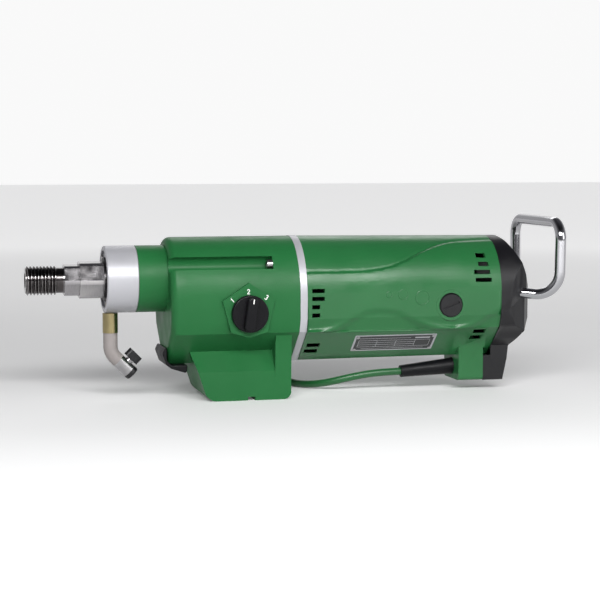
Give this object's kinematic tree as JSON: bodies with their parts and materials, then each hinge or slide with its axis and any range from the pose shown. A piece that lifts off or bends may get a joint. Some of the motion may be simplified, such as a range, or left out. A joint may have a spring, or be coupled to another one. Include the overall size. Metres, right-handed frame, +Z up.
{
  "type": "core drill motor",
  "caption": "Rig-mount diamond core drill motor: keyed foot, gear selector knob, water swivel with valve, threaded spindle, bail handle and mains cord.",
  "frame": {"origin": "centre of the foot's four tapped holes, on the keyed foot face that seats on a drill rig, over the keyway", "axes": "+X along the spindle axis towards the rear cap, -Y towards the gear selector, +Z up away from the foot face"},
  "size_m": [0.59, 0.2539, 0.196],
  "materials": {
    "green_enamel": "green enamel on die-cast aluminium",
    "green_plastic": "satin moulded green plastic",
    "black_plastic": "matte moulded black plastic",
    "bare_aluminium": "satin machined aluminium",
    "steel": "turned and ground steel",
    "dark_steel": "blackened steel",
    "chrome": "polished chrome",
    "brass": "turned brass",
    "copper": "enamelled copper wire",
    "rubber": "moulded rubber",
    "hose": "grey reinforced hose",
    "cord": "dark green rubber cable sheath",
    "carbon": "pressed carbon"
  },
  "bodies": {
    "housing": {"spindle_front_bearing": "steel", "spindle_rear_bearing": "steel", "water_ring": "bare_aluminium", "shaft_seals": "rubber", "ring_screws": "dark_steel", "gearbox_housing": "green_enamel", "front_bumper": "rubber", "bearing_plate": "bare_aluminium", "fork_rod": "steel", "gear_shaft_bearings": "steel", "intermediate_flange": "bare_aluminium", "flange_screws": "steel", "housing_screws": "steel", "water_nipple": "brass", "water_hose": "hose", "valve_body": "steel", "hose_coupling": "black_plastic", "motor_housing": "green_plastic", "nameplate": "bare_aluminium", "nameplate_rivets": "steel", "front_motor_bearing": "steel", "rear_motor_bearing": "steel", "motor_seal": "rubber", "stator_core": "dark_steel", "field_windings": "copper", "fan_baffle": "black_plastic", "brush_holders": "brass", "carbon_brushes": "carbon", "brush_springs": "steel", "brush_caps": "black_plastic", "rear_cap": "black_plastic", "bail_handle": "chrome", "handle_lugs": "steel", "electronics_module": "black_plastic", "switch_body": "black_plastic", "cord_boot": "rubber", "cord_clamp": "black_plastic", "cord": "cord", "cord_coil": "cord", "mains_plug": "rubber", "plug_pins": "brass"},
    "spindle": {"drill_spindle": "steel", "spindle_gear": "steel"},
    "shift_shaft": {"shift_shaft": "steel", "free_gear_2": "steel"},
    "first_speed_gear": {"free_gear_1": "steel"},
    "third_speed_gear": {"free_gear_3": "steel"},
    "draw_key": {"draw_key": "steel", "shift_collar": "steel"},
    "layshaft": {"layshaft": "steel"},
    "armature": {"armature_shaft": "steel", "armature_core": "dark_steel", "armature_windings": "copper", "commutator": "copper", "fan": "black_plastic"},
    "fork": {"shift_fork": "brass"},
    "selector": {"selector_shaft": "steel", "selector_knob": "black_plastic"},
    "valve": {"valve_lever": "black_plastic"},
    "switch": {"switch_button": "rubber"}
  },
  "joints": [
    {"name": "spindle_spin", "type": "hinge", "parent": "housing", "child": "spindle", "pos_m": [0, 0, 0.131], "axis": [1, 0, 0], "continuous": true},
    {"name": "shift_shaft_spin", "type": "hinge", "parent": "housing", "child": "shift_shaft", "pos_m": [0, -0.02, 0.09069], "axis": [1, 0, 0], "continuous": true},
    {"name": "first_gear_spin", "type": "hinge", "parent": "housing", "child": "first_speed_gear", "pos_m": [0, -0.02, 0.09069], "axis": [1, 0, 0], "continuous": true},
    {"name": "third_gear_spin", "type": "hinge", "parent": "housing", "child": "third_speed_gear", "pos_m": [0, -0.02, 0.09069], "axis": [1, 0, 0], "continuous": true},
    {"name": "layshaft_spin", "type": "hinge", "parent": "housing", "child": "layshaft", "pos_m": [0, 0.01801, 0.08195], "axis": [1, 0, 0], "continuous": true},
    {"name": "armature_spin", "type": "hinge", "parent": "housing", "child": "armature", "pos_m": [0, 0, 0.1], "axis": [1, 0, 0], "continuous": true},
    {"name": "selector_turn", "type": "hinge", "parent": "housing", "child": "selector", "pos_m": [-0.006, -0.062, 0.096], "axis": [0, 1, 0], "range_deg": [-45, 45]},
    {"name": "fork_slide", "type": "slide", "parent": "housing", "child": "fork", "axis": [1, 0, 0], "range_m": [-0.01105, 0.01105]},
    {"name": "draw_key_slide", "type": "slide", "parent": "shift_shaft", "child": "draw_key", "axis": [1, 0, 0], "range_m": [-0.01105, 0.01105]},
    {"name": "valve_turn", "type": "hinge", "parent": "housing", "child": "valve", "pos_m": [-0.13249, 0, 0.03649], "axis": [0.7071, 0, 0.7071], "range_deg": [0, 90]},
    {"name": "switch_press", "type": "slide", "parent": "housing", "child": "switch", "axis": [-1, 0, 0], "range_m": [0, 0.003], "stiffness_N_per_m": 900}
  ],
  "couplings": [
    {"joint": "shift_shaft_spin", "follows": "spindle_spin", "ratio": -2.4615},
    {"joint": "layshaft_spin", "follows": "spindle_spin", "ratio": 3.1037},
    {"joint": "first_gear_spin", "follows": "spindle_spin", "ratio": -1.6431},
    {"joint": "third_gear_spin", "follows": "spindle_spin", "ratio": -3.621},
    {"joint": "armature_spin", "follows": "spindle_spin", "ratio": -11.286},
    {"joint": "fork_slide", "follows": "selector_turn", "m_per_rad": 0.014006},
    {"joint": "draw_key_slide", "follows": "selector_turn", "m_per_rad": 0.014006}
  ]
}
